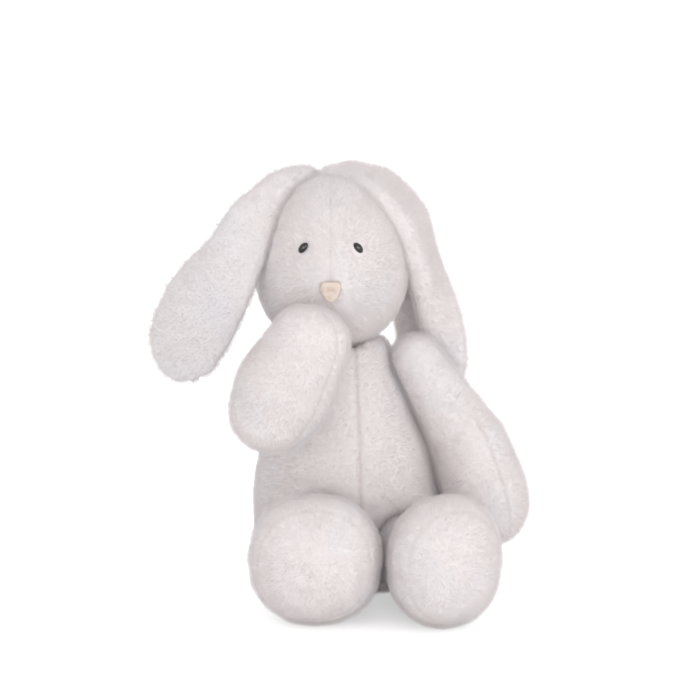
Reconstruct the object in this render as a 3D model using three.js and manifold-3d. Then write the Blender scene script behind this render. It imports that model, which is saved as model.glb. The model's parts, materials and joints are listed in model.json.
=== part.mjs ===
// A stuffed toy rabbit that sits on the floor with its legs forward, its right arm folded up to its mouth and
// its left arm hanging at its side. It is sewn from plush panels over loose fibre filling: each plush piece
// is a shell, open or slit at its seams, and its filling is a separate solid inside. Limbs are sewn on at
// round soft ends.
// Millimetres, +Z up. The rabbit faces -Y, its left is +X, and the origin is on the floor under its seat.
import * as THREE from "three";
import { mergeVertices } from "three/addons/utils/BufferGeometryUtils.js";
import Module from "manifold-3d";

const wasm = await Module();
wasm.setup();

const vector = (x, y, z) => new THREE.Vector3(x, y, z);
const degrees = THREE.MathUtils.degToRad;

// ---- driving dimensions ----
const PLUSH = 3; // backing cloth and pile together
const GAP = 0.5; // clearance between neighbouring pieces
const SEAM = 0.6; // width of the slit between two sewn panels
const ROOM = 1.8; // room cut round a limb's root
const SWEEP = 1; // room cut round the rest of a limb that turns
const FILLING = PLUSH + GAP; // how far the filling lies inside the outer surface
const SPAN = 600; // longer than the toy, for cutting blocks
const REACH = 60; // longer than any small opening is deep

const TORSO = {
  yaw: degrees(8), // the body faces a little to its left
  lean: vector(-9, 0, 0), // shift of the neck from the seat
  top: 143,
  seamY: 5, // front and back panels meet behind the middle
  bottomZ: 9, // the back panel turns under the seat up to here
  // height, half width, half depth
  sections: [
    [0, 38, 32],
    [5, 47, 39],
    [17, 52, 44],
    [42, 54, 46],
    [70, 50, 43],
    [96, 42, 37],
    [114, 36, 33],
    [127, 32, 29],
    [137, 30.5, 25],
    [143, 25, 19],
  ],
};
const PELLET_BAG = { radius: 26, height: 15, room: 4 }; // room below it, down to the seat
const TAIL = { radius: 14, pivot: vector(0, 46, 26), mouth: 5 };
const LABEL = { width: 9, length: 12, thickness: 0.6, height: 40 };

const NECK = { pivot: vector(-9, -1, 137), radius: 15, opening: 12 };
const HEAD = {
  half: vector(42, 44, 49.5),
  centre: vector(-10.5, -2, 187),
  taper: 0.12, // the crown is narrower, and the cheeks wider, by this share
  muzzleOut: 12, // bump on the front of the face
  muzzleSpread: 17,
  muzzleHeight: 177,
  seamY: 6, // the face panels meet the back panel here
  nods: [-18, -9, 0, 4], // degrees, to clear the body
};
const EYE = {
  radius: 3.5,
  squeeze: 0.64, // the domes are ovals, this much narrower one way
  tilt: degrees(25), // their outer ends hang down
  rise: 2.2,
  sunk: 1,
  shankRadius: 1.2,
  shankLength: 9,
  apart: 30.8,
  height: 200.4,
};
const WASHER = { radius: 5.5, thickness: 1, depth: 5.5 };
const NOSE = { width: 11, height: 11.5, thickness: 2.4, sunk: 1.2, z: 178 };

const EAR = {
  plush: 2, // ears are cut from a thinner plush
  length: 139,
  // distance from the root, half width, half depth
  sections: [
    [0, 10, 6],
    [26, 12, 6],
    [60, 18, 6.5],
    [88, 25, 7],
    [110, 25, 7],
  ],
  lift: 75, // degrees, to clear the head
  room: 2.2, // cut round it where it turns against the head
};
const EARS = {
  left: {
    side: 1,
    twist: degrees(40),
    line: [
      vector(0, 9, 228),
      vector(9, 13, 228),
      vector(24, 23, 211),
      vector(35, 31, 177),
      vector(46, 32, 141),
      vector(54, 30, 103),
    ],
  },
  right: {
    side: -1,
    twist: degrees(25),
    line: [
      vector(-24, 4, 227),
      vector(-33, -1, 226.5),
      vector(-49.5, -14, 216),
      vector(-65, -20, 189),
      vector(-81, -20, 164),
      vector(-102, -16, 121),
    ],
  },
};

const ARM = { sleeveEnd: 9, rootHole: 8 };
const ARMS = {
  left: {
    shoulder: vector(36.5, -7, 131),
    elbow: vector(68, -10, 82),
    tip: vector(85, -11, 24),
    // distance from the elbow, half width, half depth
    forearm: [
      [0, 20.5, 20],
      [19, 23, 22],
      [33, 23.5, 22],
    ],
    seamTurn: degrees(78), // how far its seams lie round from its sides
    across: vector(0.94, 0.34, 0), // the way its width lies
    swingAxis: vector(-0.94, -0.34, 0), // it swings forwards and a little outwards
    swings: [0, 60, 130], // degrees, to clear the body
    folds: [0, 22, 45, 68, 90],
  },
  right: {
    shoulder: vector(-43, -8, 129),
    elbow: vector(-43, -60, 110),
    tip: vector(-13.5, -76, 170.5),
    forearm: [
      [0, 23, 19.5],
      [13, 27, 20.5],
      [27, 25, 20],
      [40, 23, 18.5],
      [51, 21.5, 17],
    ],
    seamTurn: degrees(-40),
    across: vector(1, 0, 0),
    swingAxis: vector(0, 0, -1), // it spreads out to the side
    swings: [0, 35, 70],
    folds: [0, 20, 40, 60, 75],
  },
};
const SLEEVE = [
  [0, 13.5, 13.5],
  [30, 17, 16],
  [57, 20, 19],
];

const LEG = {
  length: 79,
  footRise: 9,
  // distance from the hip, half width, half height
  sections: [
    [0, 19.5, 20],
    [22, 23, 24],
    [40, 30.5, 32],
    [54, 34.5, 36],
  ],
  soleStart: 66,
  squareness: 0.92, // 1 is an oval; less is squarer
  seamRise: 4, // its side seams lie this far above the hip
};
const LEGS = {
  left: { hip: vector(33, -38, 27), splay: degrees(20), slim: 3.5, lifts: [0, 11, 22, 34] },
  right: { hip: vector(-17, -31, 27), splay: degrees(-2), slim: -1, lifts: [0, 11, 22] },
};

// ---- materials ----
const plushOf = (hex) => new THREE.MeshStandardMaterial({ color: hex, roughness: 0.95, metalness: 0 });
const PLUSH_WHITE = plushOf(0xe6dfdc);
const FIBRE = new THREE.MeshStandardMaterial({ color: 0xf4f3f0, roughness: 1, metalness: 0 });
const PELLET_CLOTH = new THREE.MeshStandardMaterial({ color: 0xe2ddd2, roughness: 0.9, metalness: 0 });
const BLACK_PLASTIC = new THREE.MeshStandardMaterial({ color: 0x15110f, roughness: 0.15, metalness: 0 });
const WHITE_PLASTIC = new THREE.MeshStandardMaterial({ color: 0xdedede, roughness: 0.5, metalness: 0 });
const PEACH_THREAD = new THREE.MeshStandardMaterial({ color: 0xe8cfc0, roughness: 0.8, metalness: 0 });
const SATIN = new THREE.MeshStandardMaterial({ color: 0xf2f0ec, roughness: 0.4, metalness: 0 });

// ---- solids ----
function solidOf(geometry) {
  const bare = geometry.clone();
  bare.deleteAttribute("normal");
  bare.deleteAttribute("uv");
  const merged = mergeVertices(bare, 1e-4);
  return new wasm.Manifold(
    new wasm.Mesh({
      numProp: 3,
      vertProperties: merged.attributes.position.array,
      triVerts: new Uint32Array(merged.index.array),
    }),
  );
}

function geometryOf(solid) {
  const mesh = solid.getMesh();
  const geometry = new THREE.BufferGeometry();
  const numbers = new Float32Array(mesh.vertProperties);
  geometry.setAttribute("position", new THREE.BufferAttribute(numbers, 3));
  geometry.setIndex(new THREE.BufferAttribute(new Uint32Array(mesh.triVerts), 1));
  geometry.computeVertexNormals();
  return geometry;
}

// A solid from points and the triangles between them, turned so that its faces point out.
function facedSolid(points, faces) {
  const build = (order) => {
    const geometry = new THREE.BufferGeometry();
    const numbers = points.flatMap((p) => p.toArray());
    geometry.setAttribute("position", new THREE.Float32BufferAttribute(numbers, 3));
    geometry.setIndex(faces.flatMap(order));
    return solidOf(geometry);
  };
  const made = build(([a, b, c]) => [a, b, c]);
  return made.volume() > 0 ? made : build(([a, b, c]) => [a, c, b]);
}

// A closed surface through rings of points; each end closes on the middle of its ring.
function ringSolid(rings) {
  const count = rings[0].length;
  const middle = (ring) => ring.reduce((sum, p) => sum.add(p), vector(0, 0, 0)).divideScalar(count);
  const points = [...rings.flat(), middle(rings[0]), middle(rings.at(-1))];
  const [first, last] = [points.length - 2, points.length - 1];
  const faces = [];
  rings.forEach((_, i) => {
    for (let j = 0; j < count; j++) {
      const k = (j + 1) % count;
      const here = i * count;
      if (i === 0) faces.push([first, k, j]);
      if (i === rings.length - 1) faces.push([last, here + j, here + k]);
      else faces.push([here + j, here + k, here + count + k], [here + j, here + count + k, here + count + j]);
    }
  });
  return facedSolid(points, faces);
}

// A curved sheet through rings that each hold a row of outer points and a matching row of inner points.
function sheetSolid(rings) {
  const count = rings[0].outer.length;
  const points = rings.flatMap(({ outer, inner }) => [...outer, ...inner]);
  const outer = (i, j) => 2 * count * i + j;
  const inner = (i, j) => 2 * count * i + count + j;
  const quads = [];
  for (let i = 0; i < rings.length; i++) {
    for (let j = 0; j < count; j++) {
      const lastRing = i === rings.length - 1;
      const lastPoint = j === count - 1;
      if (i === 0 && !lastPoint) quads.push([outer(0, j + 1), outer(0, j), inner(0, j), inner(0, j + 1)]);
      if (lastRing && !lastPoint) quads.push([outer(i, j), outer(i, j + 1), inner(i, j + 1), inner(i, j)]);
      if (j === 0 && !lastRing) quads.push([outer(i, 0), outer(i + 1, 0), inner(i + 1, 0), inner(i, 0)]);
      if (lastPoint && !lastRing) quads.push([outer(i + 1, j), outer(i, j), inner(i, j), inner(i + 1, j)]);
      if (lastRing || lastPoint) continue;
      quads.push([outer(i, j), outer(i, j + 1), outer(i + 1, j + 1), outer(i + 1, j)]);
      quads.push([inner(i, j + 1), inner(i, j), inner(i + 1, j), inner(i + 1, j + 1)]);
    }
  }
  const faces = quads.flatMap(([a, b, c, d]) => [
    [a, b, c],
    [a, c, d],
  ]);
  return facedSolid(points, faces);
}

const turns = (count) => Array.from({ length: count }, (_, i) => (i / count) * 2 * Math.PI);

function ball(centre, radius, around = 14, up = 9) {
  return solidOf(new THREE.SphereGeometry(radius, around, up).translate(centre.x, centre.y, centre.z));
}

// A ball stretched along one direction.
function egg(centre, along, length, radius) {
  const sphere = new THREE.SphereGeometry(1, 14, 9).scale(radius, radius, length);
  return standing(sphere, centre, along);
}

// A box between two corners.
function block(low, high) {
  const size = high.clone().sub(low);
  const middle = low.clone().add(high).divideScalar(2);
  return solidOf(new THREE.BoxGeometry(size.x, size.y, size.z).translate(middle.x, middle.y, middle.z));
}

// A geometry that stands along +Z, turned to stand along a direction from a point.
function standing(geometry, point, direction) {
  const turn = new THREE.Quaternion().setFromUnitVectors(vector(0, 0, 1), direction.clone().normalize());
  const matrix = new THREE.Matrix4().compose(point, turn, vector(1, 1, 1));
  return solidOf(geometry.clone().applyMatrix4(matrix));
}

// A cylinder of the given length that starts at a point and runs along a direction.
function rod(radius, length, point, direction, segments = 14) {
  const geometry = new THREE.CylinderGeometry(radius, radius, length, segments);
  geometry.rotateX(Math.PI / 2).translate(0, 0, length / 2);
  return standing(geometry, point, direction);
}

const middleOf = (solid, axis) => {
  const box = solid.boundingBox();
  return box.min[axis] + box.max[axis];
};

// The given number of largest pieces of a solid, the one furthest along the axis (0, 1 or 2) first.
function largest(solid, count, axis) {
  const pieces = solid.decompose().sort((a, b) => b.volume() - a.volume());
  return pieces.slice(0, count).sort((a, b) => middleOf(b, axis) - middleOf(a, axis));
}

const whole = (solid) => largest(solid, 1, 0)[0];

function turnedAbout(solid, pivot, axis, angle) {
  const matrix = new THREE.Matrix4().makeTranslation(pivot.x, pivot.y, pivot.z);
  matrix.multiply(new THREE.Matrix4().makeRotationAxis(axis.clone().normalize(), angle));
  matrix.multiply(new THREE.Matrix4().makeTranslation(-pivot.x, -pivot.y, -pivot.z));
  return solid.transform(matrix.elements);
}

const joined = (solids) => solids.reduce((all, one) => all.add(one));

// Everything a moving solid passes through as it turns to the given angles.
function swept(solid, pivot, axis, angles) {
  const turned = angles.map((angle) => turnedAbout(solid, pivot, axis, degrees(angle)));
  return joined(turned);
}

// Everything behind a y when the side is 1, or in front of it when the side is -1.
function halfSpaceY(y, side) {
  const low = vector(-SPAN, side > 0 ? y : -SPAN, -SPAN);
  const high = vector(SPAN, side > 0 ? SPAN : y, SPAN);
  return block(low, high);
}

const slitX = (x) => block(vector(x - SEAM / 2, -SPAN, -SPAN), vector(x + SEAM / 2, SPAN, SPAN));

// Sections along a limb, smooth through the given ones, with a round end at the root and at the tip.
function stationsOf(sections, length, inset, counts) {
  const [, rootWide, rootDeep] = sections[0];
  const stations = [];
  for (let i = 0; i < counts.root; i++) {
    const turn = ((i + 0.4) / counts.root) * (Math.PI / 2);
    const back = -(rootDeep - inset) * Math.cos(turn);
    stations.push([back, (rootWide - inset) * Math.sin(turn), (rootDeep - inset) * Math.sin(turn)]);
  }
  const curve = new THREE.CatmullRomCurve3(sections.map(([at, wide, deep]) => vector(at, wide, deep)));
  curve.getPoints(counts.body).forEach((p) => stations.push([p.x, p.y - inset, p.z - inset]));
  const [at, wide, deep] = sections.at(-1);
  for (let i = 1; i <= counts.tip; i++) {
    const turn = (i / (counts.tip + 0.4)) * (Math.PI / 2);
    const reach = (length - at - inset) * Math.sin(turn);
    stations.push([at + reach, (wide - inset) * Math.cos(turn), (deep - inset) * Math.cos(turn)]);
  }
  return stations;
}

// A limb along a straight line from one point towards another; its width lies across the given direction.
function straightLimb(stations, from, to, across, around) {
  const along = to.clone().sub(from).normalize();
  const wideWay = across.clone().addScaledVector(along, -across.dot(along)).normalize();
  const deepWay = vector(0, 0, 0).crossVectors(along, wideWay);
  return ringSolid(
    stations.map(([at, wide, deep]) =>
      turns(around).map((a) =>
        from
          .clone()
          .addScaledVector(along, at)
          .addScaledVector(wideWay, wide * Math.cos(a))
          .addScaledVector(deepWay, deep * Math.sin(a)),
      ),
    ),
  );
}

// ---- torso ----
const torsoMatrix = new THREE.Matrix4().makeRotationZ(TORSO.yaw);

function torsoSolid(inset, around, rings) {
  const curve = new THREE.CatmullRomCurve3(TORSO.sections.map(([z, wide, deep]) => vector(z, wide, deep)));
  const sections = curve.getPoints(rings).map((p) => [p.x, p.y - inset, p.z - inset]);
  const kept = sections.filter(([z], i) => i === 0 || z > inset + 1);
  kept[0][0] = inset;
  const made = kept.map(([z, wide, deep]) => {
    const share = z / TORSO.top;
    const middle = TORSO.lean.clone().multiplyScalar(share * share).setZ(z);
    return turns(around).map((a) => vector(wide * Math.cos(a), deep * Math.sin(a), 0).add(middle));
  });
  return ringSolid(made).transform(torsoMatrix.elements);
}

// ---- head ----
function headPoint(turn, rise, inset) {
  const { half, centre } = HEAD;
  const flat = Math.cos(rise);
  const up = Math.sin(rise);
  const x = (half.x - inset) * flat * Math.cos(turn) * (1 - HEAD.taper * up);
  const y = (half.y - inset) * flat * Math.sin(turn);
  const z = (half.z - inset) * up;
  const off = (x ** 2 + (z + centre.z - HEAD.muzzleHeight) ** 2) / (2 * HEAD.muzzleSpread ** 2);
  const facing = THREE.MathUtils.clamp((-2 * y) / half.y, 0, 1);
  return vector(x, y - HEAD.muzzleOut * Math.exp(-off) * facing, z).add(centre);
}

function headSolid(inset, around, rings) {
  const end = degrees(84);
  const rises = Array.from({ length: rings }, (_, i) => -end + (2 * end * i) / (rings - 1));
  return ringSolid(rises.map((rise) => turns(around).map((turn) => headPoint(turn, rise, inset))));
}

// The outward direction of the head's surface in front, at an x and z.
function faceAt(x, z) {
  const rise = Math.asin((z - HEAD.centre.z) / HEAD.half.z);
  const width = HEAD.half.x * Math.cos(rise) * (1 - HEAD.taper * Math.sin(rise));
  const turn = -Math.acos((x - HEAD.centre.x) / width);
  const step = 0.02;
  const point = headPoint(turn, rise, 0);
  const sideways = headPoint(turn + step, rise, 0).sub(point);
  const upwards = headPoint(turn, rise + step, 0).sub(point);
  return { point, normal: sideways.cross(upwards).normalize() };
}

// ---- ears ----
// A frame at each station along an ear: its middle, and the ways across it and through it.
function earFrames(ear) {
  const line = new THREE.CatmullRomCurve3(ear.line);
  return stationsOf(EAR.sections, EAR.length, 0, { root: 2, body: 6, tip: 3 }).map(([at, wide, deep]) => {
    const share = THREE.MathUtils.clamp(at / EAR.length, 0, 1);
    const along = line.getTangentAt(share);
    const middle = line.getPointAt(share).addScaledVector(along, at - share * EAR.length);
    const across = vector(0, 1, 0).cross(along).normalize();
    across.applyAxisAngle(along, ear.twist * THREE.MathUtils.smoothstep(share, 0.1, 0.6));
    return { middle, across, through: vector(0, 0, 0).crossVectors(along, across), wide, deep };
  });
}

function earPoint(frame, inset, angle, shift) {
  const wide = Math.max(0.3, frame.wide - inset);
  const deep = Math.max(0.3, frame.deep - inset);
  return frame.middle
    .clone()
    .addScaledVector(frame.across, wide * Math.cos(angle))
    .addScaledVector(frame.through, deep * Math.sin(angle) + shift);
}

function earSolid(ear, inset, around = 12) {
  return ringSolid(earFrames(ear).map((frame) => turns(around).map((a) => earPoint(frame, inset, a, 0))));
}

// One of an ear's two panels, on the side of its middle that the sign gives: a thin curved sheet.
function earPanel(ear, sign) {
  const angles = Array.from({ length: 7 }, (_, i) => (sign * Math.PI * i) / 6);
  const shift = (sign * SEAM) / 2;
  const rings = earFrames(ear).map((frame) => ({
    outer: angles.map((a) => earPoint(frame, 0, a, shift)),
    inner: angles.map((a) => earPoint(frame, EAR.plush, a, shift)),
  }));
  return sheetSolid(rings);
}

// ---- legs ----
const squared = (part) => Math.sign(part) * Math.abs(part) ** LEG.squareness;

// A leg along -Y from its hip, a little square across, flat where it rests on the floor, then splayed.
function legSolid(side, inset, around, counts = { root: 3, body: 4, tip: 3 }) {
  const { hip, splay, slim } = LEGS[side];
  const footStart = LEG.sections.at(-1)[0];
  const stations = stationsOf(LEG.sections, LEG.length, inset, counts);
  const solid = ringSolid(
    stations.map(([at, wide, high]) => {
      const z = hip.z + LEG.footRise * THREE.MathUtils.smoothstep(at, 0, footStart);
      const width = wide - slim * THREE.MathUtils.smoothstep(at, 0, footStart);
      return turns(around).map((a) => {
        const x = hip.x + width * squared(Math.cos(a));
        const level = z + high * squared(Math.sin(a));
        return vector(x, hip.y - at, Math.max(inset, level));
      });
    }),
  );
  return turnedAbout(solid, hip, vector(0, 0, 1), splay);
}

// ---- assembly ----
const rabbit = new THREE.Group();

function addTo(group, name, solid, material) {
  const mesh = new THREE.Mesh(geometryOf(solid), material);
  mesh.name = name;
  group.add(mesh);
}

function armSolids(side) {
  const { shoulder, elbow, tip, across, forearm: sections } = ARMS[side];
  const sleeve = (inset, around = 14, root = 3) => {
    const stations = stationsOf(SLEEVE, 0, inset, { root, body: 3, tip: 0 });
    return straightLimb(stations, shoulder, elbow, across, around);
  };
  const forearm = (inset, around = 16, root = 3) => {
    const stations = stationsOf(sections, elbow.distanceTo(tip), inset, { root, body: 3, tip: 3 });
    return straightLimb(stations, elbow, tip, across, around);
  };
  return { sleeve, forearm };
}

// The forearm folds about the line across its elbow.
function foldAxis(side) {
  const { elbow, tip, across } = ARMS[side];
  const along = tip.clone().sub(elbow).normalize();
  const axis = across.clone().addScaledVector(along, -across.dot(along)).normalize();
  return side === "left" ? axis.negate() : axis;
}

// What the limbs and the head need clear in the body: their round roots, and all they sweep as they turn.
function bodyCutters() {
  const legs = ["left", "right"].map((side) => {
    const leg = legSolid(side, -SWEEP, 16, { root: 2, body: 4, tip: 1 });
    const { hip, lifts } = LEGS[side];
    const root = ball(hip, LEG.sections[0][1] + ROOM);
    return swept(leg, hip, vector(-1, 0, 0), lifts).add(root);
  });
  const arms = ["left", "right"].map((side) => {
    const arm = ARMS[side];
    const sleeve = armSolids(side).sleeve(-SWEEP, 12, 1);
    const root = ball(arm.shoulder, SLEEVE[0][1] + ROOM);
    return swept(sleeve, arm.shoulder, arm.swingAxis, arm.swings).add(root);
  });
  const head = swept(headSolid(-ROOM, 16, 9), NECK.pivot, vector(1, 0, 0), HEAD.nods);
  return joined([...legs, ...arms, head, ball(NECK.pivot, NECK.radius + ROOM)]);
}

function makeTorso(group) {
  const cutters = bodyCutters();
  const shell = torsoSolid(0, 22, 8).subtract(torsoSolid(PLUSH, 16, 7)).subtract(cutters);
  const front = block(vector(-SPAN, -SPAN, TORSO.bottomZ), vector(SPAN, TORSO.seamY, SPAN));
  const rest = block(vector(-SPAN, -SPAN, TORSO.bottomZ - SEAM), vector(SPAN, TORSO.seamY + SEAM, SPAN));
  const yawed = (solid) => solid.transform(torsoMatrix.elements);
  const [left, right] = largest(shell.intersect(yawed(front)).subtract(yawed(slitX(0))), 2, 0);
  addTo(group, "torso_front_left_panel", left, PLUSH_WHITE);
  addTo(group, "torso_front_right_panel", right, PLUSH_WHITE);
  addTo(group, "torso_back_panel", whole(shell.subtract(yawed(rest))), PLUSH_WHITE);

  const bag = (extra) => {
    const { radius, height, room } = PELLET_BAG;
    const profile = [
      [0, extra > 0 ? -room : 0],
      [radius * 0.9 + extra, extra > 0 ? -room : 0],
      [radius + extra, height * 0.3],
      [radius * 0.8 + extra, height * 0.8 + extra],
      [0, height + extra],
    ];
    const lathe = new THREE.LatheGeometry(profile.map(([r, z]) => new THREE.Vector2(r, z)), 18);
    return standing(lathe.rotateX(Math.PI / 2), vector(0, 4, FILLING), vector(0, 0, 1));
  };
  const filling = torsoSolid(FILLING, 16, 7).subtract(cutters).subtract(bag(GAP));
  addTo(group, "torso_stuffing", whole(filling), FIBRE);
  addTo(group, "seat_pellet_bag", bag(0), PELLET_CLOTH);

  const labelTop = vector(-LABEL.width / 2, TORSO.sections[3][2] + 1.5, LABEL.height);
  const size = vector(LABEL.width, LABEL.thickness, LABEL.length);
  addTo(group, "care_label", yawed(block(labelTop, labelTop.clone().add(size))), SATIN);
}

function makeTail(group) {
  const centre = TAIL.pivot.clone().add(vector(0, TAIL.radius, 0));
  const shell = ball(centre, TAIL.radius);
  const inner = ball(centre, TAIL.radius - PLUSH);
  const mouth = rod(TAIL.mouth, TAIL.radius, centre, vector(0, -1, 0), 12);
  addTo(group, "tail_shell", whole(shell.subtract(inner).subtract(mouth)), PLUSH_WHITE);
  addTo(group, "tail_stuffing", ball(centre, TAIL.radius - FILLING), FIBRE);
}

function eyeSpots() {
  return [1, -1].map((side) => ({
    side: side > 0 ? "left" : "right",
    ...faceAt(HEAD.centre.x + (side * EYE.apart) / 2, EYE.height),
  }));
}

// Makes a round thing that stands along +Z the oval of an eye.
function oval(geometry, side) {
  const tilt = side === "left" ? -EYE.tilt : EYE.tilt;
  return geometry.scale(1, EYE.squeeze, 1).rotateZ(tilt);
}

// A low dome on a shank, standing out along +Z with its back at zero.
function eyeGeometry(side) {
  const dome = new THREE.EllipseCurve(0, 0, EYE.radius, EYE.rise, 0, Math.PI / 2).getPoints(4);
  const profile = [
    new THREE.Vector2(0, -EYE.shankLength),
    new THREE.Vector2(EYE.shankRadius, -EYE.shankLength),
    new THREE.Vector2(EYE.shankRadius, 0),
    ...dome.map((p) => new THREE.Vector2(p.x, p.y)),
  ];
  profile.at(-1).x = 0;
  return oval(new THREE.LatheGeometry(profile, 14).rotateX(Math.PI / 2), side);
}

// The opening in the plush in front of an eye's seat.
function eyeOpening(side) {
  const rim = new THREE.CylinderGeometry(EYE.radius + GAP, EYE.radius + GAP, REACH, 18);
  return oval(rim.rotateX(Math.PI / 2).translate(0, 0, REACH / 2), side);
}

function washerGeometry() {
  const ring = new THREE.Shape().absarc(0, 0, WASHER.radius, 0, 2 * Math.PI);
  ring.holes.push(new THREE.Path().absarc(0, 0, EYE.shankRadius + GAP / 2, 0, 2 * Math.PI, true));
  return new THREE.ExtrudeGeometry(ring, { depth: WASHER.thickness, bevelEnabled: false, curveSegments: 10 });
}

// The nose pad: a triangle with round corners, its point down.
function noseGeometry(extra, depth) {
  const half = NOSE.width / 2 + extra;
  const top = NOSE.height / 2 + extra;
  const pad = new THREE.Shape();
  pad.moveTo(-half * 0.55, top);
  pad.lineTo(half * 0.55, top);
  pad.quadraticCurveTo(half, top, half, top * 0.35);
  pad.quadraticCurveTo(half * 0.85, -top * 0.45, half * 0.25, -top * 0.9);
  pad.quadraticCurveTo(0, -top * 1.1, -half * 0.25, -top * 0.9);
  pad.quadraticCurveTo(-half * 0.85, -top * 0.45, -half, top * 0.35);
  pad.quadraticCurveTo(-half, top, -half * 0.55, top);
  const geometry = new THREE.ExtrudeGeometry(pad, { depth, bevelEnabled: false, curveSegments: 4 });
  return geometry.translate(0, 0, -NOSE.sunk - extra).rotateX(Math.PI / 2);
}

// Moves a geometry that faces -Y onto the muzzle, tipped to match it.
function onMuzzle(geometry) {
  const { point, normal } = faceAt(HEAD.centre.x, NOSE.z);
  const tip = Math.asin(normal.z);
  return solidOf(geometry.clone().rotateX(-tip).translate(point.x, point.y, point.z));
}

function makeHead(group) {
  const spots = eyeSpots();
  const cutters = [ball(NECK.pivot, NECK.radius + ROOM)];
  cutters.push(rod(NECK.opening, NECK.radius * 2, NECK.pivot, vector(0, 0, -1)));
  for (const { side, point, normal } of spots) {
    const seat = point.clone().addScaledVector(normal, -EYE.sunk - GAP);
    const shankEnd = point.clone().addScaledVector(normal, -EYE.sunk - EYE.shankLength - GAP);
    cutters.push(standing(eyeOpening(side), seat, normal));
    cutters.push(rod(EYE.shankRadius + GAP, EYE.shankLength + 1, shankEnd, normal));
  }
  cutters.push(onMuzzle(noseGeometry(GAP, REACH)));
  for (const side of ["left", "right"]) {
    const ear = EARS[side];
    const root = ball(ear.line[0], EAR.sections[0][1] + GAP);
    const moving = earSolid(ear, -EAR.room);
    const liftAxis = vector(0, -ear.side, 0);
    cutters.push(root, swept(moving, ear.line[0], liftAxis, [0, EAR.lift / 2, EAR.lift]));
  }
  const cut = joined(cutters);
  const shell = headSolid(0, 22, 12).subtract(headSolid(PLUSH, 16, 9)).subtract(cut);
  const face = shell.intersect(halfSpaceY(HEAD.seamY, -1)).subtract(slitX(HEAD.centre.x));
  const [left, right] = largest(face, 2, 0);
  addTo(group, "head_face_left_panel", left, PLUSH_WHITE);
  addTo(group, "head_face_right_panel", right, PLUSH_WHITE);
  addTo(group, "head_back_panel", whole(shell.intersect(halfSpaceY(HEAD.seamY + SEAM, 1))), PLUSH_WHITE);

  const washerRoom = spots.map(({ point, normal }) => {
    const start = point.clone().addScaledVector(normal, -WASHER.depth - WASHER.thickness - GAP);
    return rod(WASHER.radius + GAP, WASHER.depth, start, normal, 18);
  });
  const filling = [cut, ...washerRoom].reduce((solid, one) => solid.subtract(one), headSolid(FILLING, 16, 9));
  addTo(group, "head_stuffing", whole(filling), FIBRE);

  for (const { side, point, normal } of spots) {
    const seat = point.clone().addScaledVector(normal, -EYE.sunk);
    const washerSeat = point.clone().addScaledVector(normal, -WASHER.depth - WASHER.thickness);
    addTo(group, `${side}_eye`, standing(eyeGeometry(side), seat, normal), BLACK_PLASTIC);
    addTo(group, `${side}_eye_washer`, standing(washerGeometry(), washerSeat, normal), WHITE_PLASTIC);
  }
  addTo(group, "nose", onMuzzle(noseGeometry(0, NOSE.thickness)), PEACH_THREAD);
}

function makeEar(group, side) {
  const ear = EARS[side];
  addTo(group, `${side}_ear_outer_panel`, earPanel(ear, -1), PLUSH_WHITE);
  addTo(group, `${side}_ear_inner_panel`, earPanel(ear, 1), PLUSH_WHITE);
  addTo(group, `${side}_ear_wadding`, earSolid(ear, EAR.plush + GAP, 8), FIBRE);
}

function makeArm(group, side) {
  const arm = ARMS[side];
  const { sleeve, forearm } = armSolids(side);
  const along = arm.elbow.clone().sub(arm.shoulder).normalize();
  const cuffEnd = arm.elbow.clone().addScaledVector(along, -ARM.sleeveEnd);
  const beyondCuff = rod(REACH, REACH * 2, cuffEnd, along);
  const [, wide, deep] = arm.forearm[0];
  const elbowRoom = egg(arm.elbow, foldAxis(side), wide + ROOM, deep + ROOM);
  const bend = swept(forearm(-SWEEP, 12, 1), arm.elbow, foldAxis(side), arm.folds).add(elbowRoom);
  const root = rod(ARM.rootHole, REACH, arm.shoulder, along.clone().negate(), 12);
  const upper = sleeve(0).subtract(sleeve(PLUSH, 12)).subtract(root).subtract(beyondCuff).subtract(bend);
  const upperFilling = sleeve(FILLING, 12).subtract(beyondCuff).subtract(bend);
  addTo(group, `${side}_upper_arm_sleeve`, whole(upper), PLUSH_WHITE);
  addTo(group, `${side}_upper_arm_stuffing`, whole(upperFilling), FIBRE);

  const reachAxis = arm.tip.clone().sub(arm.elbow).normalize();
  const deepWay = vector(0, 0, 0).crossVectors(reachAxis, arm.across).normalize();
  const seamWay = deepWay.applyAxisAngle(reachAxis, arm.seamTurn);
  const slit = standing(new THREE.BoxGeometry(SPAN, SPAN, SEAM), arm.elbow, seamWay);
  const panels = largest(forearm(0).subtract(forearm(PLUSH, 12)).subtract(slit), 2, 0);
  if (side === "right") panels.reverse();
  addTo(group, `${side}_forearm_outer_panel`, panels[0], PLUSH_WHITE);
  addTo(group, `${side}_forearm_inner_panel`, panels[1], PLUSH_WHITE);
  addTo(group, `${side}_forearm_stuffing`, forearm(FILLING, 12), FIBRE);
}

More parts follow.
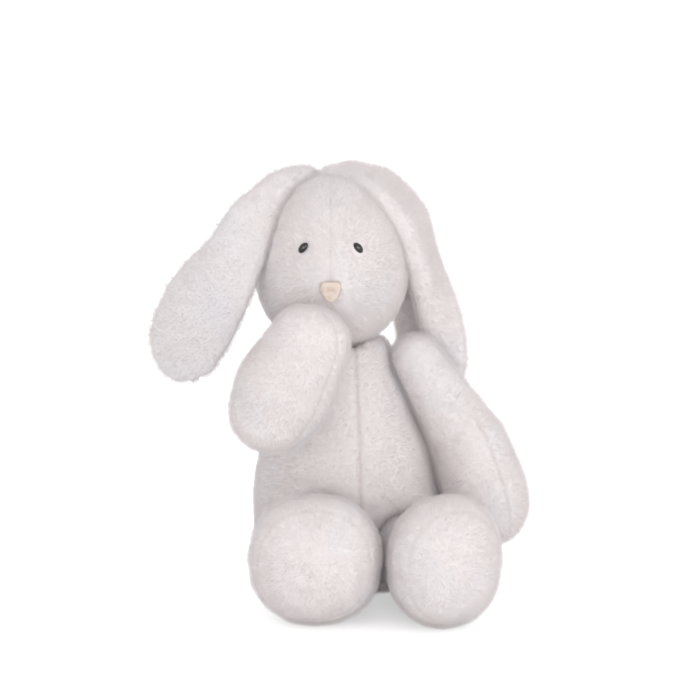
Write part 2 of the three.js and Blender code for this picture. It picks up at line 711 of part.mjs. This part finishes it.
function makeLeg(group, side) {
  const { hip, splay } = LEGS[side];
  const shell = legSolid(side, 0, 16).subtract(legSolid(side, PLUSH, 12));
  const splayed = (solid) => turnedAbout(solid, hip, vector(0, 0, 1), splay);
  const footEnd = hip.y - LEG.soleStart;
  const sole = shell.intersect(splayed(halfSpaceY(footEnd, -1)));
  const tube = shell.intersect(splayed(halfSpaceY(footEnd + SEAM, 1)));
  const seamZ = hip.z + LEG.seamRise;
  const middle = block(vector(-SPAN, -SPAN, seamZ - SEAM), vector(SPAN, SPAN, seamZ));
  const [top, bottom] = largest(tube.subtract(middle), 2, 2);
  addTo(group, `${side}_leg_top_panel`, top, PLUSH_WHITE);
  addTo(group, `${side}_leg_bottom_panel`, bottom, PLUSH_WHITE);
  addTo(group, `${side}_foot_sole`, whole(sole), PLUSH_WHITE);
  addTo(group, `${side}_leg_stuffing`, legSolid(side, FILLING, 12), FIBRE);
}

makeTorso(rabbit);
makeTail(rabbit);
addTo(rabbit, "neck_stuffing", ball(NECK.pivot, NECK.radius, 18, 12), FIBRE);
makeHead(rabbit);
for (const side of ["left", "right"]) {
  makeEar(rabbit, side);
  makeArm(rabbit, side);
  makeLeg(rabbit, side);
}

export default rabbit;
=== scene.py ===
"""Looks of the plush rabbit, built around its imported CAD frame.

Every plush piece starts as a copy of its CAD panels and filling. The copy is remeshed into one
skin, smoothed, seamed and roughened, and then covered in short fur. Lengths are in metres.
"""
import json
import math

import bmesh
import bpy
import numpy as np
from mathutils import Matrix, Vector, noise
from mathutils.bvhtree import BVHTree


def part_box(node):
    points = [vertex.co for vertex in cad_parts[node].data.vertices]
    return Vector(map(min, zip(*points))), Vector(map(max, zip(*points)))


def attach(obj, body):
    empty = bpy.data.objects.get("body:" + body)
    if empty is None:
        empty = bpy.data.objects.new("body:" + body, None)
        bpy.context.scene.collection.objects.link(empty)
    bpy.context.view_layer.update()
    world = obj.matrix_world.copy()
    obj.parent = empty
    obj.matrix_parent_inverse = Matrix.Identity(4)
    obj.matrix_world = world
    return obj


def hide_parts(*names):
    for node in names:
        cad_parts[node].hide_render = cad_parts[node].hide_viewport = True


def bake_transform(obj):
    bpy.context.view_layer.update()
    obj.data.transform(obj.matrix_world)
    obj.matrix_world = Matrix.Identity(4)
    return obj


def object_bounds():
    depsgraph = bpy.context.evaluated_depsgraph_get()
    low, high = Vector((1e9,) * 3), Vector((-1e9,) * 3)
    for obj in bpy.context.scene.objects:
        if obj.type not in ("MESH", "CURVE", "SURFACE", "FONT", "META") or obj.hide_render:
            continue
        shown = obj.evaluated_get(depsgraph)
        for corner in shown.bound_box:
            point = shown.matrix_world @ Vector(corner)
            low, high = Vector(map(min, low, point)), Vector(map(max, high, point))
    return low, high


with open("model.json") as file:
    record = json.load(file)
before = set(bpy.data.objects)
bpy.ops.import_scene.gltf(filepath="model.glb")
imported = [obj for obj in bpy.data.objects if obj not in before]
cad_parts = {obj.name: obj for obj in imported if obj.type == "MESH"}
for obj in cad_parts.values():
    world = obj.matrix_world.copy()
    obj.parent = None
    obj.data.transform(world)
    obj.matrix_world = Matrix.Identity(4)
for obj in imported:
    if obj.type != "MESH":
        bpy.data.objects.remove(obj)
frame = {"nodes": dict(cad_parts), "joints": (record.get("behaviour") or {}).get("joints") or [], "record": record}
cad_low, cad_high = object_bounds()

MM = 0.001
JOINTS = {joint["name"]: joint for joint in frame["joints"]}


def pivot(joint):
    return Vector(JOINTS[joint]["pos_m"])


def middle(node):
    low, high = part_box(node)
    return (Vector(low) + Vector(high)) / 2


# ---- mesh helpers ----
def new_object(name, mesh):
    obj = bpy.data.objects.new(name, mesh)
    bpy.context.scene.collection.objects.link(obj)
    return obj


def coords(obj):
    flat = np.empty(len(obj.data.vertices) * 3)
    obj.data.vertices.foreach_get("co", flat)
    return flat.reshape(-1, 3)


def set_coords(obj, points):
    obj.data.vertices.foreach_set("co", points.astype(np.float32).ravel())
    obj.data.update()


def normals(obj):
    flat = np.empty(len(obj.data.vertices) * 3)
    obj.data.vertices.foreach_get("normal", flat)
    return flat.reshape(-1, 3)


def apply_modifier(obj, kind, **settings):
    """Adds a modifier, and puts its result in the mesh."""
    modifier = obj.modifiers.new(kind, kind)
    for key, value in settings.items():
        setattr(modifier, key, value)
    graph = bpy.context.evaluated_depsgraph_get()
    made = bpy.data.meshes.new_from_object(obj.evaluated_get(graph))
    obj.modifiers.clear()
    old = obj.data
    obj.data = made
    bpy.data.meshes.remove(old)


def smooth_shaded(obj):
    for polygon in obj.data.polygons:
        polygon.use_smooth = True


PULL = 0.5  # share of the way to its neighbours that a round of smoothing moves a point


def relax(obj, rounds, keep=0.53):
    """Smooths without shrinking: each round pulls points to their neighbours, then a bit further back."""
    points = coords(obj)
    ends = np.empty(len(obj.data.edges) * 2, int)
    obj.data.edges.foreach_get("vertices", ends)
    ends = ends.reshape(-1, 2)
    count = np.bincount(ends.ravel(), minlength=len(points))[:, None]
    for step in range(rounds * 2):
        total = np.zeros_like(points)
        np.add.at(total, ends[:, 0], points[ends[:, 1]])
        np.add.at(total, ends[:, 1], points[ends[:, 0]])
        points += (total / count - points) * (PULL if step % 2 == 0 else -keep)
    set_coords(obj, points)


def push(obj, amount):
    """Moves each point along its normal. amount is one number, or one for each point."""
    set_coords(obj, coords(obj) + normals(obj) * np.reshape(amount, (-1, 1)))


NOISE_SHIFT = (7.3, 3.1, 5.7)  # how far the next seed's noise lies from this one's, in bumps


def noise_at(points, size, seed):
    """Smooth noise between about -1 and 1 whose bumps are the given size apart."""
    shift = Vector([seed * step for step in NOISE_SHIFT])
    return np.array([noise.noise(Vector(p) / size + shift) for p in points])


def bell(distance, width):
    """1 at no distance, falling smoothly to almost nothing at twice the width."""
    return np.exp(-((distance / width) ** 2))


# ---- skins ----
BALL_SUBDIVISIONS = 3
SKIN_VOXEL = 3 * MM
SKIN_ROUNDS = 25


def rounded_hull(balls):
    """A bmesh of the hull round some balls, each a point and a radius."""
    bm = bmesh.new()
    for point, radius in balls:
        matrix = Matrix.Translation(point) @ Matrix.Scale(radius, 4)
        bmesh.ops.create_icosphere(bm, subdivisions=BALL_SUBDIVISIONS, radius=1, matrix=matrix)
    hull = bmesh.ops.convex_hull(bm, input=bm.verts)
    bmesh.ops.delete(bm, geom=hull["geom_interior"], context="VERTS")
    return bm


def outer_shell(obj):
    """Keeps the largest connected surface, so that no hidden pocket stays inside."""
    bm = bmesh.new()
    bm.from_mesh(obj.data)
    left = set(bm.verts)
    groups = []
    while left:
        stack = [left.pop()]
        group = list(stack)
        while stack:
            for edge in stack.pop().link_edges:
                for vertex in edge.verts:
                    if vertex in left:
                        left.discard(vertex)
                        stack.append(vertex)
                        group.append(vertex)
        groups.append(group)
    groups.sort(key=len)
    for group in groups[:-1]:
        bmesh.ops.delete(bm, geom=group, context="VERTS")
    bm.to_mesh(obj.data)
    bm.free()


def skin(name, nodes, hulls=(), voxel=SKIN_VOXEL, rounds=SKIN_ROUNDS):
    """One smooth closed surface round copies of CAD nodes and any hulls that bridge their gaps."""
    bm = bmesh.new()
    for node in nodes:
        bm.from_mesh(frame["nodes"][node].data)
    mesh = bpy.data.meshes.new(name)
    bm.to_mesh(mesh)
    bm.free()
    obj = new_object(name, mesh)
    for balls in hulls:
        part = rounded_hull(balls)
        part.from_mesh(obj.data)
        part.to_mesh(obj.data)
        part.free()
    apply_modifier(obj, "REMESH", mode="VOXEL", voxel_size=voxel)
    outer_shell(obj)
    relax(obj, rounds)
    return obj


def finer(obj):
    """Splits each face in four, so that finer relief fits on it."""
    apply_modifier(obj, "SUBSURF", levels=1, render_levels=1)


# Layers of relief, each with the distance between its bumps and their depth.
LUMP = (26 * MM, 0.7 * MM)
DIMPLE = (9 * MM, 0.3 * MM)
TUFT = (2.6 * MM, 0.15 * MM)


def roughen(obj, seed, layers=(LUMP, DIMPLE, TUFT)):
    """Uneven filling and the tufts of the pile, as real relief."""
    points = coords(obj)
    relief = (noise_at(points, size, seed + i) * depth for i, (size, depth) in enumerate(layers))
    push(obj, sum(relief))


def distances_to(node, points):
    """How far each point is from the surface of a CAD node."""
    mesh = frame["nodes"][node].data
    tree = BVHTree.FromPolygons([v.co for v in mesh.vertices], [p.vertices for p in mesh.polygons])
    return np.array([tree.find_nearest(Vector(point))[3] for point in points])


SEAM_DEPTH = 1.8 * MM  # of the seams at the sides of the body and the head
CHEST_SEAM_DEPTH = 1.2 * MM
FACE_SEAM_DEPTH = 0.4 * MM
EAR_SEAM_DEPTH = 0.3 * MM
ARM_SEAM_DEPTH = 0.8 * MM
LEG_SEAM_DEPTH = 0.5 * MM
SEAM_WIDTH = 1.4 * MM
SEAM_REACH = 5 * MM  # how far from its panels a seam still marks the skin
SEAM_SHOULDER = 0.3  # share of the depth that the plush either side of the line sinks by
SEAM_SHOULDER_WIDTH = 5 * SEAM_WIDTH
PUCKER_SHARE = 0.6
PUCKER_SIZE = 3.5 * MM
PUCKER_SEED = 11
SEAM_MARK = "seam"
# Painted shade: a darker, warmer colour that stands in for the shade in the sunken seam lines.
SEAM_SHADE_COLOUR = (0.6, 0.53, 0.51)


def marks(obj):
    """How deep in a seam each point lies, from 0 to 1, as sew has marked it."""
    values = np.zeros(len(obj.data.vertices))
    if SEAM_MARK in obj.data.attributes:
        obj.data.attributes[SEAM_MARK].data.foreach_get("value", values)
    return values


def sew(obj, *pairs, depth=SEAM_DEPTH):
    """Sinks a puckered line into the skin wherever two CAD panels of a pair meet, and marks it."""
    points = coords(obj)
    away = {node: distances_to(node, points) for pair in pairs for node in pair}
    line = np.zeros(len(points))
    shoulder = np.zeros(len(points))
    for one, other in pairs:
        from_line = np.abs(away[one] - away[other])
        on_panels = bell(np.minimum(away[one], away[other]), SEAM_REACH)
        line = np.maximum(line, bell(from_line, SEAM_WIDTH) * on_panels)
        shoulder = np.maximum(shoulder, bell(from_line, SEAM_SHOULDER_WIDTH) * on_panels)
    pucker = 1 + PUCKER_SHARE * noise_at(points, PUCKER_SIZE, PUCKER_SEED)
    push(obj, -depth * np.maximum(line, SEAM_SHOULDER * shoulder) * pucker)
    marked = np.maximum(marks(obj), line * min(1, depth / SEAM_DEPTH))
    if SEAM_MARK not in obj.data.attributes:
        obj.data.attributes.new(SEAM_MARK, "FLOAT", "POINT")
    obj.data.attributes[SEAM_MARK].data.foreach_set("value", marked)


# ---- materials ----
def nodes_of(material):
    material.use_nodes = True
    tree = material.node_tree
    tree.nodes.clear()
    return tree


def link(tree, source, target):
    tree.links.new(source, target)


def add_node(tree, kind, **inputs):
    """A shader node with some inputs set. An underscore in an input's name stands for a space."""
    node = tree.nodes.new(f"ShaderNode{kind}")
    for name, value in inputs.items():
        node.inputs[name.replace("_", " ")].default_value = value
    return node


def add_noise(tree, place, **inputs):
    """The output of a noise texture at a place."""
    texture = add_node(tree, "TexNoise", **inputs)
    link(tree, place, texture.inputs["Vector"])
    return texture.outputs["Fac"]


def add_bump(tree, surface, height, **inputs):
    relief = add_node(tree, "Bump", **inputs)
    link(tree, height, relief.inputs["Height"])
    link(tree, relief.outputs["Normal"], surface.inputs["Normal"])


def add_mix(tree, first, second, factor):
    """Colours mixed by a factor. Each of the last two is a fixed value or an output of a node."""
    mix = add_node(tree, "Mix")
    mix.data_type = "RGBA"
    link(tree, first, mix.inputs["A"])
    for name, value in (("B", second), ("Factor", factor)):
        if isinstance(value, bpy.types.NodeSocket):
            link(tree, value, mix.inputs[name])
        else:
            mix.inputs[name].default_value = value
    return mix


def drifting_colour(tree, place, colours):
    """A slow drift through three close colours."""
    ramp = add_node(tree, "ValToRGB")
    link(tree, add_noise(tree, place, Scale=20, Detail=3), ramp.inputs["Fac"])
    stops = ramp.color_ramp.elements
    stops[0].position = 0.3
    stops[0].color = (*colours[0], 1)
    stops[1].position = 0.7
    stops[1].color = (*colours[2], 1)
    stops.new(0.5).color = (*colours[1], 1)
    return ramp.outputs["Color"]


def plush_material(name, colours, glow=0.0):
    """Soft pile: close colours, with painted shade between tufts and along the seams, with sheen and a fine bump.

    glow is the share of light that passes through, as it does through a loose hair.
    """
    material = bpy.data.materials.new(name)
    tree = nodes_of(material)
    place = add_node(tree, "TexCoord").outputs["Object"]
    tufts = add_noise(tree, place, Scale=420, Detail=4)
    # Painted shade: the colour darkens a little where the tuft noise is low, between the tufts, on top of the bump
    # there.
    shade = add_node(tree, "MapRange", To_Min=0.96, To_Max=1.02)
    link(tree, tufts, shade.inputs["Value"])
    # Painted shade along the seams: the seam mark blends the colour towards the painted seam shade.
    seam_shade_mask = add_node(tree, "Attribute")
    seam_shade_mask.attribute_name = SEAM_MARK
    seam_shaded = add_mix(tree, drifting_colour(tree, place, colours), (*SEAM_SHADE_COLOUR, 1), seam_shade_mask.outputs["Fac"])
    mix = add_mix(tree, seam_shaded.outputs["Result"], shade.outputs["Result"], 1)
    mix.blend_type = "MULTIPLY"
    surface = add_node(tree, "BsdfPrincipled", Roughness=0.95, Specular_IOR_Level=0.15)
    surface.inputs["Sheen Weight"].default_value = 0.35
    surface.inputs["Sheen Roughness"].default_value = 0.5
    link(tree, mix.outputs["Result"], surface.inputs["Base Color"])
    add_bump(tree, surface, tufts, Strength=0.2, Distance=1.2 * MM)
    through = add_node(tree, "BsdfTranslucent")
    link(tree, mix.outputs["Result"], through.inputs["Color"])
    both = add_node(tree, "MixShader", Fac=glow)
    link(tree, surface.outputs["BSDF"], both.inputs[1])
    link(tree, through.outputs["BSDF"], both.inputs[2])
    link(tree, both.outputs["Shader"], add_node(tree, "OutputMaterial").inputs["Surface"])
    return material


def plain_material(name, colour, roughness, coat=0.0, speckle=0.04, scale=300, bump=0.1):
    """A moulded or woven surface with a fine procedural grain."""
    material = bpy.data.materials.new(name)
    tree = nodes_of(material)
    place = add_node(tree, "TexCoord").outputs["Object"]
    grain = add_noise(tree, place, Scale=scale)
    ramp = add_node(tree, "ValToRGB")
    link(tree, grain, ramp.inputs["Fac"])
    stops = ramp.color_ramp.elements
    stops[0].color = (*[c * (1 - speckle) for c in colour], 1)
    stops[1].color = (*[min(1, c * (1 + speckle)) for c in colour], 1)
    surface = add_node(tree, "BsdfPrincipled", Roughness=roughness, Coat_Weight=coat, Coat_Roughness=0.03)
    link(tree, ramp.outputs["Color"], surface.inputs["Base Color"])
    add_bump(tree, surface, grain, Strength=bump, Distance=0.2 * MM)
    link(tree, surface.outputs["BSDF"], add_node(tree, "OutputMaterial").inputs["Surface"])
    return material


ROSE = (0.87, 0.82, 0.825)
CREAM = (0.87, 0.83, 0.825)
COOL = (0.855, 0.83, 0.845)
PEACH = (0.76, 0.65, 0.58)
PLUSH = plush_material("plush", (ROSE, CREAM, COOL))
PILE = plush_material("plush_pile", (ROSE, CREAM, COOL), glow=0.35)
NOSE_PILE = plush_material("nose_pile", (PEACH, PEACH, PEACH), glow=0.35)
EYE_PLASTIC = plain_material("eye_plastic", (0.012, 0.010, 0.009), 0.16, coat=0.6, bump=0.0)
NOSE_THREAD = plain_material("nose_thread", PEACH, 0.9, speckle=0.05, scale=900)
WASHER = plain_material("washer_plastic", (0.7, 0.7, 0.7), 0.5)
PELLET_CLOTH = plain_material("pellet_cloth", (0.7, 0.66, 0.58), 0.9, speckle=0.1, scale=600)
SATIN = plain_material("label_satin", (0.85, 0.84, 0.81), 0.35, speckle=0.05, scale=800)


# ---- fur ----
def area_of(obj):
    return sum(polygon.area for polygon in obj.data.polygons)


FUR_LENGTH = 2.7 * MM
PARENTS_PER_AREA = 0.13 / MM**2
CHILDREN = 36
SEAM_THINNING = 0.7  # share of the fur that the stitches of a seam pull in
BARE_EDGE = 2 * MM  # over which the fur comes back round a bare spot


def fur_group(obj, bare_spots):
    """A vertex group: full where fur grows, thin along seams, empty round small parts that must show."""
    points = coords(obj)
    grows = 1 - SEAM_THINNING * marks(obj)
    for node, radius in bare_spots:
        distance = np.linalg.norm(points - front_of(node), axis=1)
        grows *= np.clip((distance - radius) / BARE_EDGE, 0, 1)
    group = obj.vertex_groups.new(name="fur_grows")
    for i, weight in enumerate(grows):
        group.add([i], float(weight), "REPLACE")
    return group.name


def fur(obj, seed, length, bare_spots):
    """Short upright pile: parent hairs spread over the skin, with soft clumps of children round them."""
    group = fur_group(obj, bare_spots)
    modifier = obj.modifiers.new("fur", "PARTICLE_SYSTEM")
    system = modifier.particle_system
    system.seed = seed
    system.vertex_group_density = group
    system.vertex_group_length = group
    pile = system.settings
    pile.type = "HAIR"
    pile.count = int(area_of(obj) * PARENTS_PER_AREA)
    pile.hair_length = length
    pile.hair_step = 3
    pile.display_step = 2
    pile.render_step = 2
    pile.child_type = "INTERPOLATED"
    pile.child_percent = 0
    pile.rendered_child_count = CHILDREN
    pile.clump_factor = 0.1
    pile.clump_shape = -0.2
    pile.child_length_threshold = 0
    pile.child_length = 1.0
    pile.roughness_1 = 0.6 * MM
    pile.roughness_1_size = 2 * MM
    pile.roughness_endpoint = 0.8 * MM
    pile.roughness_2 = 0.35 * MM
    pile.roughness_2_size = 1 * MM
    pile.root_radius = 0.055
    pile.tip_radius = 0.02
    pile.radius_scale = MM
    pile.material = 2
    obj.show_instancer_for_render = True


def dressed(obj, seed, length=FUR_LENGTH, bare_spots=(), materials=(PLUSH, PILE)):
    obj.data.materials.clear()
    for material in materials:
        obj.data.materials.append(material)
    smooth_shaded(obj)
    fur(obj, seed, length, bare_spots)


# ---- the rabbit ----
EYE_HOLLOW_WIDTH = 10 * MM
EYE_HOLLOW_DEPTH = 0.9 * MM
EYE_BARE = 2.9 * MM
NOSE_BARE = 3.0 * MM


def bend(obj):
    """Bakes a skin's placement into its points; the skin is not blended across the joint here."""
    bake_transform(obj)


def make_torso():
    nodes = [n for n in frame["record"]["behaviour"]["bodies"]["torso"] if n.startswith("torso")]
    torso = skin("torso_plush", nodes + ["seat_pellet_bag"])
    finer(torso)
    left, right, back = "torso_front_left_panel", "torso_front_right_panel", "torso_back_panel"
    sew(torso, (left, right), depth=CHEST_SEAM_DEPTH)
    sew(torso, (left, back), (right, back))
    finer(torso)
    roughen(torso, 1)
    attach(torso, "torso")
    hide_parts(*nodes)
    dressed(torso, 1)


def make_neck():
    neck = skin("neck_plush", ["neck_stuffing"])
    finer(neck)
    roughen(neck, 2)
    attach(neck, "neck")
    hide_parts("neck_stuffing")
    dressed(neck, 2)


def front_of(node, depth=1.5 * MM):
    """The middle of the points of a CAD node that lie near its foremost one."""
    points = coords(frame["nodes"][node])
    return points[points[:, 1] < points[:, 1].min() + depth].mean(axis=0)


def sink(obj, point, width, depth):
    """A shallow hollow round a point."""
    push(obj, -depth * bell(np.linalg.norm(coords(obj) - np.array(point), axis=1), width))


def make_head():
    nodes = ["head_face_left_panel", "head_face_right_panel", "head_back_panel", "head_stuffing"]
    head = skin("head_plush", nodes)
    finer(head)
    left, right, back = nodes[:3]
    sew(head, (left, right), depth=FACE_SEAM_DEPTH)
    sew(head, (left, back), (right, back))
    for side in ("left", "right"):
        sink(head, middle(f"{side}_eye"), EYE_HOLLOW_WIDTH, EYE_HOLLOW_DEPTH)
    finer(head)
    roughen(head, 3)
    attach(head, "head")
    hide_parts(*nodes)
    dressed(head, 3, bare_spots=[("left_eye", EYE_BARE), ("right_eye", EYE_BARE), ("nose", NOSE_BARE)])


NOSE_VOXEL = 0.5 * MM
NOSE_SOFTENING = 0.45  # less than PULL, so that relax also shrinks the pad's edges
NOSE_THREADS = (1.2 * MM, 0.12 * MM)
NOSE_FUZZ = 1.1 * MM


def make_nose():
    """The embroidered pad, with its edges softened."""
    nose = skin("nose_pad", ["nose"], voxel=NOSE_VOXEL, rounds=12)
    relax(nose, 6, keep=NOSE_SOFTENING)
    roughen(nose, 21, layers=[NOSE_THREADS])
    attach(nose, "head")
    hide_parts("nose")
    dressed(nose, 21, length=NOSE_FUZZ, materials=(NOSE_THREAD, NOSE_PILE))


EAR_ROOT_REACH = 42 * MM
EAR_ROOT_FILL = 3.2 * MM
EAR_VOXEL = 2.5 * MM
# The left ear is pleated at its root, so its inner edge comes forward round the side of the head.
# Each step down the pleat is a point in front, one in the ear's outer edge and the plush's radius
# round both, in millimetres from the root.
PLEAT = (
    ((-10, -13, 3), (16, 4, 0), 6),
    ((14, -16, -7), (26, 8, -9), 7),
    ((29, -16, -23), (36, 10, -20), 7),
    ((36, -13, -41), (42, 10, -40), 6.5),
    ((41, -7, -60), (49, 9, -60), 6),
    ((44, 0, -78), (54, 8, -78), 5.5),
    ((48, 9, -94), (58, 10, -95), 5.5),
    ((54, 17, -108), (62, 12, -108), 5),
)


def pleat_hulls(root):
    """The folded plush between each step of the pleat and the next."""
    steps = []
    for front, outer, radius in PLEAT:
        steps.append([(root + Vector(point) * MM, radius * MM) for point in (front, outer)])
    return [upper + lower for upper, lower in zip(steps, steps[1:])]


def make_ear(side, seed):
    nodes = [f"{side}_ear_{part}" for part in ("outer_panel", "inner_panel", "wadding")]
    root = pivot(f"{side}_ear_lift")
    pleat = pleat_hulls(root) if side == "left" else []
    ear = skin(f"{side}_ear_plush", nodes, pleat, voxel=EAR_VOXEL)
    sink(ear, root, EAR_ROOT_REACH, -EAR_ROOT_FILL)
    relax(ear, 6)
    sew(ear, nodes[:2], depth=EAR_SEAM_DEPTH)
    finer(ear)
    roughen(ear, seed)
    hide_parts(*nodes)
    dressed(ear, seed)
    bend(ear)


SHOULDER_RADIUS = 13 * MM
ELBOW_RADIUS = 19 * MM


def make_arm(side, fold_joint, swing_joint, seed):
    shoulder = pivot(swing_joint)
    elbow = pivot(fold_joint)
    upper_nodes = [f"{side}_upper_arm_{part}" for part in ("sleeve", "stuffing")]
    fore_nodes = [f"{side}_forearm_{part}" for part in ("outer_panel", "inner_panel", "stuffing")]
    bridge = [(shoulder, SHOULDER_RADIUS), (elbow, ELBOW_RADIUS)]
    arm = skin(f"{side}_arm_plush", upper_nodes + fore_nodes, [bridge])
    finer(arm)
    sew(arm, fore_nodes[:2], depth=ARM_SEAM_DEPTH)
    finer(arm)
    roughen(arm, seed)
    along = (elbow - shoulder).normalized()
    cut = shoulder.lerp(elbow, 0.5)
    upper = half_of(arm, f"{side}_upper_arm_plush", cut, along)
    fore = half_of(arm, f"{side}_forearm_plush", cut, -along)
    bpy.data.objects.remove(arm)
    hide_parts(*upper_nodes)
    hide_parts(*fore_nodes)
    dressed(upper, seed)
    dressed(fore, seed + 1)
    bend(upper)
    bend(fore)


def half_of(obj, name, point, away):
    """A closed copy of the part of a mesh that lies behind a plane."""
    bm = bmesh.new()
    bm.from_mesh(obj.data)
    geometry = bm.verts[:] + bm.edges[:] + bm.faces[:]
    cut = bmesh.ops.bisect_plane(bm, geom=geometry, plane_co=point, plane_no=away, clear_outer=True)
    rim = [e for e in cut["geom_cut"] if isinstance(e, bmesh.types.BMEdge)]
    bmesh.ops.holes_fill(bm, edges=rim)
    for edge in rim:
        edge.smooth = False
    mesh = bpy.data.meshes.new(name)
    bm.to_mesh(mesh)
    bm.free()
    return new_object(name, mesh)


def make_leg(side, seed):
    nodes = [f"{side}_{part}" for part in ("leg_top_panel", "leg_bottom_panel", "leg_stuffing", "foot_sole")]
    top, bottom, _, sole = nodes
    leg = skin(f"{side}_leg_plush", nodes)
    finer(leg)
    sew(leg, (top, bottom), (top, sole), (bottom, sole), depth=LEG_SEAM_DEPTH)
    finer(leg)
    roughen(leg, seed)
    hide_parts(*nodes)
    dressed(leg, seed)
    bend(leg)


def make_tail():
    nodes = ["tail_shell", "tail_stuffing"]
    tail = skin("tail_plush", nodes, voxel=2 * MM)
    finer(tail)
    roughen(tail, 20)
    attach(tail, "tail")
    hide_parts(*nodes)
    dressed(tail, 20)


def finish_small_parts():
    for node, material in {
        "left_eye": EYE_PLASTIC,
        "right_eye": EYE_PLASTIC,
        "left_eye_washer": WASHER,
        "right_eye_washer": WASHER,
        "seat_pellet_bag": PELLET_CLOTH,
        "care_label": SATIN,
    }.items():
        obj = frame["nodes"][node]
        for material_slot in obj.material_slots:
            material_slot.material = material


# ---- stage, light and camera ----
FLOOR_LIFT = 0.45  # the floor is part of the same blown-out backdrop
FLOOR_SIZE = 20
FLOOR_GAP = 0.5 * MM
FLOOR_COLOUR = (0.93, 0.93, 0.93)


def make_stage():
    bpy.ops.mesh.primitive_plane_add(size=FLOOR_SIZE)
    floor = bpy.context.object
    floor.name = "floor"
    floor.location.z = cad_low.z - FLOOR_GAP
    material = bpy.data.materials.new("floor_white")
    tree = nodes_of(material)
    surface = add_node(tree, "BsdfDiffuse", Color=(*FLOOR_COLOUR, 1))
    lift = add_node(tree, "Emission")
    both = add_node(tree, "AddShader")
    link(tree, seen_by_camera(tree, FLOOR_LIFT, 0), lift.inputs["Strength"])
    link(tree, surface.outputs["BSDF"], both.inputs[0])
    link(tree, lift.outputs["Emission"], both.inputs[1])
    link(tree, both.outputs["Shader"], add_node(tree, "OutputMaterial").inputs["Surface"])
    floor.data.materials.append(material)


def seen_by_camera(tree, seen, otherwise):
    """A value that differs between what the camera sees directly and everything else light meets."""
    path = add_node(tree, "LightPath")
    value = add_node(tree, "Mix", A=otherwise, B=seen)
    link(tree, path.outputs["Is Camera Ray"], value.inputs["Factor"])
    return value.outputs["Result"]


def area_light(name, place, size, power):
    data = bpy.data.lights.new(name, "AREA")
    data.shape = "DISK"
    data.size = size
    data.energy = power
    light = bpy.data.objects.new(name, data)
    bpy.context.scene.collection.objects.link(light)
    light.location = place
    light.rotation_euler = (Vector(LIGHT_AIM) - Vector(place)).to_track_quat("-Z", "Y").to_euler()


WORLD_STRENGTH = 0.76
BACKDROP = 1.05  # the studio backdrop as the camera sees it: blown out to white
LIGHT_AIM = (0, 0, 0.12)
# The name of each light, its place, its width and its power in watts.
LIGHTS = (
    ("key", (-0.25, -1.9, 0.75), 1.6, 5),
    ("fill", (0.3, -1.9, 0.12), 1.2, 10),
    ("side", (1.4, -1.2, 0.5), 1.0, 4),
    ("back", (0.2, 1.9, 0.7), 1.4, 9),
)


def make_light():
    world = bpy.data.worlds.new("studio")
    world.use_nodes = True
    tree = world.node_tree
    background = tree.nodes["Background"]
    background.inputs["Color"].default_value = (1, 1, 1, 1)
    link(tree, seen_by_camera(tree, BACKDROP, WORLD_STRENGTH), background.inputs["Strength"])
    bpy.context.scene.world = world
    for light in LIGHTS:
        area_light(*light)


CAMERA_ELEVATION = math.radians(12)
CAMERA_DISTANCE = 1.5
CAMERA_AIM = Vector((0, 0, 0.134))
CAMERA_LENS = 136.5
CAMERA_SENSOR = 36


def make_camera():
    data = bpy.data.cameras.new("camera")
    data.lens = CAMERA_LENS
    data.sensor_width = CAMERA_SENSOR
    camera = bpy.data.objects.new("camera", data)
    bpy.context.scene.collection.objects.link(camera)
    back = Vector((0, -math.cos(CAMERA_ELEVATION), math.sin(CAMERA_ELEVATION)))
    camera.location = CAMERA_AIM + back * CAMERA_DISTANCE
    camera.rotation_euler = (-back).to_track_quat("-Z", "Y").to_euler()
    bpy.context.scene.camera = camera


# ---- build ----
make_torso()
make_neck()
make_head()
make_nose()
make_ear("left", 4)
make_ear("right", 5)
make_arm("left", "left_elbow_fold", "left_shoulder_swing", 6)
make_arm("right", "right_elbow_unfold", "right_shoulder_spread", 8)
make_leg("left", 10)
make_leg("right", 11)
make_tail()
finish_small_parts()
make_stage()
make_light()
make_camera()
bpy.context.scene.view_settings.view_transform = "Standard"
